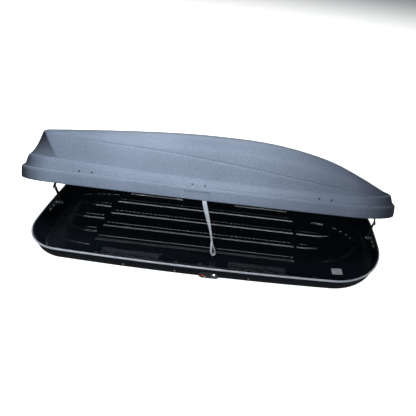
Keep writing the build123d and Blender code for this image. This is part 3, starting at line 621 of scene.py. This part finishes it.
def floor_patch(border):
    """The floor: straight rows near the middle, so that the ribs' edges follow them."""
    points = border.copy()
    signed = np.concatenate([-floor_rows[:0:-1], floor_rows])
    distance = np.abs(signed)[None, :]
    sides = np.abs(border[:, 0, 1])[:, None]
    beyond, room = distance - STRAIGHT_ROWS, sides - STRAIGHT_ROWS
    outer = STRAIGHT_ROWS + beyond * room / (floor_rows[-1] - STRAIGHT_ROWS)
    rows = np.where(distance <= STRAIGHT_ROWS, distance, outer)
    # the two end rows of points keep the places that the rings gave them, and the others ease towards them
    middle = 0.5 * sum(BASE_PATCH_X)
    share = smoothstep(np.abs(floor_columns - middle), ROWS_EASE_X, BASE_PATCH_X[1] - middle)[:, None]
    even = distance / floor_rows[-1] * sides
    points[..., 1] = np.sign(signed)[None, :] * (rows * (1 - share) + even * share)
    rear, nose = border[0, :, 0] - floor_columns[0], border[-1, :, 0] - floor_columns[-1]
    near_rear = (1 - smoothstep(floor_columns, BASE_PATCH_X[0], BASE_PATCH_X[0] + ENDS_EASE))[:, None]
    near_nose = smoothstep(floor_columns, BASE_PATCH_X[1] - ENDS_EASE, BASE_PATCH_X[1])[:, None]
    points[..., 0] = floor_columns[:, None] + rear[None, :] * near_rear + nose[None, :] * near_nose
    points[..., 2] = FLOOR_TOP
    return points


def cut_clamp_slots(obj):
    """One long round-ended slot through each pad."""
    length, half = SLOT_HALF
    turn = np.linspace(-math.pi / 2, math.pi / 2, SLOT_ARC_POINTS)
    nose_end = np.column_stack([length - half + half * np.cos(turn), half * np.sin(turn)])
    outline = np.vstack([nose_end, -nose_end])
    count = len(outline)
    verts, faces = [], []
    for middle in PAD_X:
        for side in (-1, 1):
            first = len(verts)
            for z in SLOT_CUTTER_Z:
                verts += [(middle + x, side * PAD_Y + y, z) for x, y in outline]
            faces += (ring_faces(2, count) + first).tolist()
            faces.append(range(first + count - 1, first - 1, -1))
            faces.append(range(first + count, first + 2 * count))
    cutter = make_object("slot_cutter", verts, faces)
    cut = obj.modifiers.new("slots", "BOOLEAN")
    cut.operation = "DIFFERENCE"
    cut.solver = "EXACT"
    cut.object = cutter
    apply_modifiers(obj)
    bpy.data.meshes.remove(cutter.data)


def base_skin():
    """The base tub as a sheet with its own thickness: rim flange, walls, ribbed floor and clamp slots."""
    wall = curve_through(TUB_WALL, TUB_WALL_ROWS)
    rings = []
    for z, inset in FLANGE + list(wall[1:]):
        half = base_half_ring(inset)
        rings.append(mirrored_ring(np.column_stack([half, np.full(len(half), z)])))
    verts, faces = closed_by_patch(rings, ROW_CELLS, COLUMN_CELLS, floor_patch)
    x, y, z = verts.T
    floor = FLOOR_TOP + ramp_height(x)
    eased = soft_max(z, floor, FLOOR_EASE)
    lowered = np.maximum(eased - FLOOR_EASE / 4, floor)
    plain = np.where(z > FLOOR_TOP + FLOOR_EASE + ramp_height(x), z, lowered)
    raised = floor + pressings(x, y)
    pressed = (z < PRESS_TOP) & (raised > floor + 0.01)
    verts[:, 2] = np.where(pressed, soft_max(plain, raised, PRESS_EASE), plain)
    obj = make_object("base_skin", verts, faces)
    thicken(obj)
    cut_clamp_slots(obj)
    return obj


# ---------------------------------------------------------------- camera, floor and light
CAMERA_AT = (0.1906, -1.6405, 1.4499)
CAMERA_AZIMUTH = -0.006
CAMERA_ELEVATION = 0.638
CAMERA_ROLL = 0.119
CAMERA_LENS = 31.27
CAMERA_SHIFT = (-0.1016, -0.0119)

FLOOR_HALF = 40.0                    # metres, like the lights' places and sizes
FLOOR_GAP = 0.0005
WORLD_COLOUR = (0.86, 0.94, 1.0, 1.0)
WORLD_STRENGTH = 0.1
WHITE = (1.0, 1.0, 1.0)
DAYLIGHT = (0.95, 0.98, 1.0)
GREENISH = (0.88, 1.0, 0.94)
# name, place, what it points at, size, power in watts and beam in degrees
LIGHTS = (
    ("to_rear", (1.5, -1.2, 2.9), (-0.72, -0.25, 0.45), (0.9, 0.6), 10.4, 36.0),
    ("to_nose", (-1.4, -1.2, 2.9), (0.6, -0.25, 0.35), (0.9, 0.6), 4.6, 36.0),
    ("front", (0.5, -3.6, 1.6), (0.0, 0.0, 0.4), (1.6, 0.8), 4.0, 180.0),
    ("back", (-0.6, 3.4, 2.0), (0.0, 0.2, 0.2), (3.0, 1.0), 40.0, 180.0),
)
# name, place, what it points at, size, power and colour of long strips for the tub's glossy edges to mirror
STRIPS = (
    ("strip_high", (-0.4, -3.4, 2.6), (0.0, 0.0, 0.0), (6.0, 0.25), 90.0, DAYLIGHT),
    ("strip_middle", (-0.4, -4.2, 1.5), (0.0, 0.0, 0.0), (7.0, 0.25), 90.0, DAYLIGHT),
    ("strip_low", (0.0, -4.4, 0.5), (0.0, 0.0, 0.1), (5.0, 0.3), 26.0, GREENISH),
)


def add_camera():
    """A camera at the reference viewing angle."""
    data = bpy.data.cameras.new("camera")
    data.sensor_width = 36.0
    data.lens = CAMERA_LENS
    data.shift_x, data.shift_y = CAMERA_SHIFT
    data.clip_end = 100.0
    camera = bpy.data.objects.new("camera", data)
    bpy.context.scene.collection.objects.link(camera)
    back = Vector((math.sin(CAMERA_AZIMUTH) * math.cos(CAMERA_ELEVATION),
                   -math.cos(CAMERA_AZIMUTH) * math.cos(CAMERA_ELEVATION), math.sin(CAMERA_ELEVATION)))
    right = Vector((math.cos(CAMERA_AZIMUTH), math.sin(CAMERA_AZIMUTH), 0.0))
    up = back.cross(right)
    turned_right = right * math.cos(CAMERA_ROLL) + up * math.sin(CAMERA_ROLL)
    turned_up = up * math.cos(CAMERA_ROLL) - right * math.sin(CAMERA_ROLL)
    place = Matrix((turned_right, turned_up, back)).transposed().to_4x4()
    place.translation = CAMERA_AT
    camera.matrix_world = place
    bpy.context.scene.camera = camera


def add_area(name, at, toward, size, power, colour, only=None, spread=180.0):
    """A soft rectangular light; only says what it lights, and spread is its beam in degrees."""
    data = bpy.data.lights.new(name, "AREA")
    data.shape = "RECTANGLE"
    data.size, data.size_y = size
    data.energy = power
    data.spread = math.radians(spread)
    data.color = colour
    lamp = bpy.data.objects.new(name, data)
    bpy.context.scene.collection.objects.link(lamp)
    lamp.location = at
    lamp.rotation_mode = "QUATERNION"
    lamp.rotation_quaternion = (Vector(toward) - Vector(at)).to_track_quat("-Z", "Y")
    if only:
        lamp.light_linking.receiver_collection = only
    return data


def add_floor():
    """A plain pale floor that doesn't throw light back up at the box."""
    corners = [(x * FLOOR_HALF, y * FLOOR_HALF, 0.0) for x, y in ((-1, -1), (1, -1), (1, 1), (-1, 1))]
    mesh = bpy.data.meshes.new("floor")
    mesh.from_pydata(corners, [], [(0, 1, 2, 3)])
    floor = bpy.data.objects.new("floor", mesh)
    floor.location.z = cad_low.z - FLOOR_GAP
    floor.visible_diffuse = False
    floor.visible_glossy = False
    group = bpy.data.collections.new("stage")
    bpy.context.scene.collection.children.link(group)
    group.objects.link(floor)
    paint = bpy.data.materials.new("floor_paint")
    paint.use_nodes = True
    shader = paint.node_tree.nodes["Principled BSDF"]
    shader.inputs["Base Color"].default_value = (0.93, 0.93, 0.93, 1.0)
    shader.inputs["Roughness"].default_value = 0.9
    mesh.materials.append(paint)
    return group


def add_studio(lid):
    """A dark even surround, crossed beams from above, light from both sides, and strips for the tub."""
    world = bpy.data.worlds.new("studio")
    world.use_nodes = True
    background = world.node_tree.nodes["Background"]
    background.inputs["Color"].default_value = WORLD_COLOUR
    background.inputs["Strength"].default_value = WORLD_STRENGTH
    bpy.context.scene.world = world
    bpy.context.scene.view_settings.view_transform = "Standard"
    stage = add_floor()
    over = add_area("floor_light", (0.0, 0.0, 7.0), (0.0, 0.0, 0.0), (16.0, 16.0), 2300.0, WHITE, only=stage)
    over.use_shadow = False
    for name, at, toward, size, power, spread in LIGHTS:
        add_area(name, at, toward, size, power, DAYLIGHT, spread=spread)
    group = bpy.data.collections.new("not_the_lid")
    bpy.context.scene.collection.children.link(group)
    group.objects.link(lid)
    group.collection_objects[0].light_linking.link_state = "EXCLUDE"
    for name, at, toward, size, power, colour in STRIPS:
        add_area(name, at, toward, size, power, colour, only=group)


# ---------------------------------------------------------------- materials
class Surface:
    """A procedural finish: noise for colour and roughness, and bumps from fine and coarse grain."""

    def __init__(self, name, roughness, metallic=0.0, specular=0.5):
        self.material = bpy.data.materials.new(name)
        self.material.use_nodes = True
        self.nodes = self.material.node_tree.nodes
        self.links = self.material.node_tree.links
        self.shader = self.nodes["Principled BSDF"]
        self.shader.inputs["Roughness"].default_value = roughness
        self.shader.inputs["Metallic"].default_value = metallic
        self.shader.inputs["Specular IOR Level"].default_value = specular
        self.place = self.nodes.new("ShaderNodeTexCoord").outputs["Object"]
        self.height = None

    def noise(self, scale, detail=3.0, stretch=None):
        """Noise in the object's own space, stretched along an axis if asked."""
        place = self.place
        if stretch:
            mapping = self.nodes.new("ShaderNodeMapping")
            mapping.inputs["Scale"].default_value = stretch
            self.links.new(place, mapping.inputs["Vector"])
            place = mapping.outputs["Vector"]
        found = self.nodes.new("ShaderNodeTexNoise")
        found.inputs["Scale"].default_value = scale
        found.inputs["Detail"].default_value = detail
        self.links.new(place, found.inputs["Vector"])
        return found.outputs["Fac"]

    def colours(self, factor, stops):
        """Base colour from a factor, through a ramp of (position, colour)."""
        ramp = self.nodes.new("ShaderNodeValToRGB")
        points = ramp.color_ramp.elements
        while len(points) < len(stops):
            points.new(0.5)
        for point, (position, colour) in zip(points, stops):
            point.position = position
            point.color = (*colour, 1.0)
        self.links.new(factor, ramp.inputs["Fac"])
        self.links.new(ramp.outputs["Color"], self.shader.inputs["Base Color"])

    def blend(self, first, second, share):
        """One factor mixed from two."""
        mix = self.nodes.new("ShaderNodeMix")
        mix.inputs["Factor"].default_value = share
        self.links.new(first, mix.inputs["A"])
        self.links.new(second, mix.inputs["B"])
        return mix.outputs["Result"]

    def roughness(self, factor, low, high):
        """Roughness between two values."""
        spread = self.nodes.new("ShaderNodeMapRange")
        spread.inputs["To Min"].default_value = low
        spread.inputs["To Max"].default_value = high
        self.links.new(factor, spread.inputs["Value"])
        self.links.new(spread.outputs["Result"], self.shader.inputs["Roughness"])

    def bump(self, factor, distance, strength=0.5):
        """Adds a bump on top of those before it."""
        found = self.nodes.new("ShaderNodeBump")
        found.inputs["Distance"].default_value = distance
        found.inputs["Strength"].default_value = strength
        self.links.new(factor, found.inputs["Height"])
        if self.height:
            self.links.new(self.height, found.inputs["Normal"])
        self.height = found.outputs["Normal"]
        self.links.new(self.height, self.shader.inputs["Normal"])


def two_tone(name, dark, light, roughness, scale, bump_scale, bump, metallic):
    """A finish whose colour drifts between two tones, with fine grain."""
    surface = Surface(name, roughness, metallic=metallic)
    drift = surface.noise(scale)
    grain = surface.noise(bump_scale, 2.0)
    surface.colours(drift, [(0.3, dark), (0.7, light)])
    surface.roughness(drift, roughness * 0.85, min(1.0, roughness * 1.15))
    surface.bump(grain, bump)
    return surface.material


def lid_plastic():
    """Textured grey-blue sheet: a slow drift of tone under speckles and leather-like grain."""
    surface = Surface("lid_plastic", 0.55, specular=0.42)
    mixed = surface.blend(surface.noise(2.2, 4.0), surface.noise(190.0, 4.0), 0.55)
    surface.colours(mixed, [(0.34, (0.105, 0.130, 0.178)), (0.66, (0.185, 0.222, 0.292))])
    surface.roughness(surface.noise(90.0), 0.48, 0.62)
    surface.bump(surface.noise(420.0, 4.0), 0.00035, 0.6)
    surface.bump(surface.noise(1300.0, 2.0), 0.00015, 0.6)
    return surface.material


def base_plastic():
    """Glossy near-black sheet with faint ripples from forming."""
    surface = Surface("base_plastic", 0.16, specular=0.45)
    surface.colours(surface.noise(3.0), [(0.3, (0.0022, 0.0034, 0.0050)), (0.7, (0.0034, 0.0048, 0.0066))])
    surface.roughness(surface.noise(60.0, 4.0), 0.12, 0.24)
    surface.bump(surface.noise(14.0, 2.0), 0.0012, 0.10)
    surface.bump(surface.noise(500.0, 3.0), 0.00006, 0.5)
    return surface.material


def webbing():
    """Light grey webbing with a fine twill along it."""
    surface = Surface("webbing", 0.8, specular=0.3)
    surface.shader.inputs["Sheen Weight"].default_value = 0.25
    surface.colours(surface.noise(160.0, 3.0), [(0.3, (0.30, 0.33, 0.38)), (0.7, (0.52, 0.55, 0.60))])
    surface.bump(surface.noise(900.0, 2.0, (1.0, 1.0, 0.25)), 0.0004, 0.7)
    return surface.material


# dark and light tone, roughness, scales of the drift and of the grain, depth of the grain, and how metallic
FINISHES = {
    "rim_trim": ((0.20, 0.215, 0.24), (0.30, 0.32, 0.35), 0.38, 20.0, 700.0, 0.0001, 0.0),
    "sticker": ((0.16, 0.17, 0.18), (0.25, 0.26, 0.27), 0.5, 60.0, 900.0, 0.00005, 0.0),
    "clamp_plate": ((0.010, 0.012, 0.015), (0.020, 0.023, 0.028), 0.35, 40.0, 900.0, 0.0001, 0.0),
    "black_steel": ((0.012, 0.014, 0.014), (0.028, 0.032, 0.031), 0.45, 30.0, 1200.0, 0.0001, 0.4),
    "zinc_steel": ((0.45, 0.46, 0.47), (0.62, 0.63, 0.64), 0.32, 80.0, 900.0, 0.00005, 1.0),
    "spring_steel": ((0.20, 0.20, 0.21), (0.34, 0.34, 0.35), 0.35, 90.0, 900.0, 0.00005, 1.0),
    "black_plastic": ((0.008, 0.009, 0.010), (0.016, 0.018, 0.019), 0.42, 40.0, 900.0, 0.0001, 0.0),
    "chrome": ((0.62, 0.63, 0.65), (0.80, 0.81, 0.82), 0.12, 60.0, 600.0, 0.00003, 1.0),
    "red_plastic": ((0.42, 0.015, 0.012), (0.55, 0.03, 0.02), 0.4, 90.0, 900.0, 0.00005, 0.0),
    "white_plastic": ((0.70, 0.70, 0.68), (0.82, 0.82, 0.80), 0.4, 90.0, 900.0, 0.00005, 0.0),
}
MATERIALS = {"lid_plastic": lid_plastic(), "base_plastic": base_plastic()}
MATERIALS.update({name: two_tone(name, *values) for name, values in FINISHES.items()})
MATERIALS["webbing"] = webbing()


def dress_cad_nodes():
    """Gives each CAD node the finish of its material slot."""
    for node in frame["nodes"].values():
        for place in node.material_slots:
            slot = place.material.name.split(".")[0]
            place.material = MATERIALS[slot]


# ---------------------------------------------------------------- pull strap
STRAP_TOP = Vector((-12.0, -308.4, 462.8))
STRAP_RUN = [(0, 0, 0), (0, -8.3, -16), (5, 0, -58), (14, 16, -128), (23, 38, -208), (30, 54, -275),
             (34, 63, -330)]
STRAP_WIDTH = 20.0
STRAP_THICK = 1.6
# one face of the webbing, with its thicker edges, in shares of the width and thickness
WEBBING_FACE = [(-0.5, -0.32), (-0.47, -0.5), (-0.40, -0.42), (-0.2, -0.38), (0.2, -0.38), (0.40, -0.42),
                (0.47, -0.5), (0.5, -0.32)]
STRAP_POINTS = 120
BEND_POINTS = 25
LEG_POINTS = 20
LOOP_POINTS = 90
LOOP_TOP = 2.0                       # the loop's legs begin this far below the strap's end
LEG_BOW = 0.8                        # power of the legs' curve
LOOP_LENGTH = 96.0
LOOP_R = 13.0
LOOP_TURN = math.radians(35.0)


def smooth_line(points, count):
    """Points of the NURBS line that a route's control points make, in millimetres."""
    data = bpy.data.curves.new("line", "CURVE")
    data.dimensions = "3D"
    spline = data.splines.new("NURBS")
    spline.points.add(len(points) - 1)
    for point, at in zip(spline.points, points):
        point.co = (*[c * MM for c in at], 1.0)
    spline.order_u = 3
    spline.use_endpoint_u = True
    spline.resolution_u = 24
    holder = bpy.data.objects.new("line", data)
    mesh = bpy.data.meshes.new_from_object(holder)
    found = np.array([v.co for v in mesh.vertices]) / MM
    bpy.data.objects.remove(holder)
    return resample(found, np.linspace(0.0, 1.0, count))


def band_mesh(name, line, across):
    """Webbing along a line; across is its width direction at each point."""
    section = WEBBING_FACE + [(a, -b) for a, b in reversed(WEBBING_FACE)]
    tangent = np.gradient(line, axis=0)
    tangent /= np.linalg.norm(tangent, axis=1)[:, None]
    across = across - (across * tangent).sum(1)[:, None] * tangent
    across /= np.linalg.norm(across, axis=1)[:, None]
    normal = np.cross(tangent, across)
    verts = np.vstack([line + across * a * STRAP_WIDTH + normal * b * STRAP_THICK for a, b in section])
    count, turns = len(line), len(section)
    faces = []
    for k in range(turns):
        this, after = k * count, (k + 1) % turns * count
        faces += [(this + i, this + i + 1, after + i + 1, after + i) for i in range(count - 1)]
    faces.append([k * count for k in range(turns)])
    faces.append([k * count + count - 1 for k in reversed(range(turns))])
    return make_object(name, verts, faces)


def loop_line(tip, across, along):
    """The hand loop: two legs side by side at the top, and a round bend at the bottom."""
    radius = LOOP_R - STRAP_THICK / 2
    lean = math.asin(radius / LOOP_LENGTH)
    bend = [(radius * math.cos(a), LOOP_LENGTH + radius * math.sin(a))
            for a in np.linspace(-lean, math.pi + lean, BEND_POINTS)]
    leg = [(bend[0][0] * s ** LEG_BOW, LOOP_TOP + (bend[0][1] - LOOP_TOP) * s)
           for s in np.linspace(0.04, 0.97, LEG_POINTS)]
    flat = leg + bend + [(-a, b) for a, b in reversed(leg)]
    points = np.array([tip + across * a + along * b for a, b in flat])
    return resample(points, np.linspace(0.0, 1.0, LOOP_POINTS))


def pull_strap():
    """The strap that pulls the lid down: twisted webbing with a sewn hand loop at its foot."""
    route = [STRAP_TOP + Vector(step) for step in STRAP_RUN]
    line = smooth_line(route, STRAP_POINTS)
    down = (route[-1] - route[-2]).normalized()
    loop_across = Vector((math.cos(LOOP_TURN), math.sin(LOOP_TURN), 0.0))
    loop_across = (loop_across - down * loop_across.dot(down)).normalized()
    start, end = np.array([1.0, 0.0, 0.0]), -np.array(loop_across.cross(down))
    share = smoothstep(np.linspace(0.0, 1.0, len(line)), 0.05, 1.0)[:, None]
    strap = band_mesh("strap_webbing", line, start * (1 - share) + end * share)
    round_loop = loop_line(np.array(route[-1]), np.array(loop_across), np.array(down))
    loop = band_mesh("strap_hand_loop", round_loop, np.tile(end, (len(round_loop), 1)))

    for piece, node in ((strap, "pull_strap"), (loop, "strap_loop")):
        piece.data.materials.append(MATERIALS["webbing"])
        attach(piece, "lid")
        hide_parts(node)
    for piece in (strap, loop):
        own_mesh(piece)


add_camera()
pull_strap()
dress_cad_nodes()

lid = lid_skin()
lid.data.materials.append(MATERIALS["lid_plastic"])
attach(lid, "lid")
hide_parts("lid_shell")

base = base_skin()
base.data.materials.append(MATERIALS["base_plastic"])
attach(base, "base")
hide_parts("base_shell")
add_studio(lid)
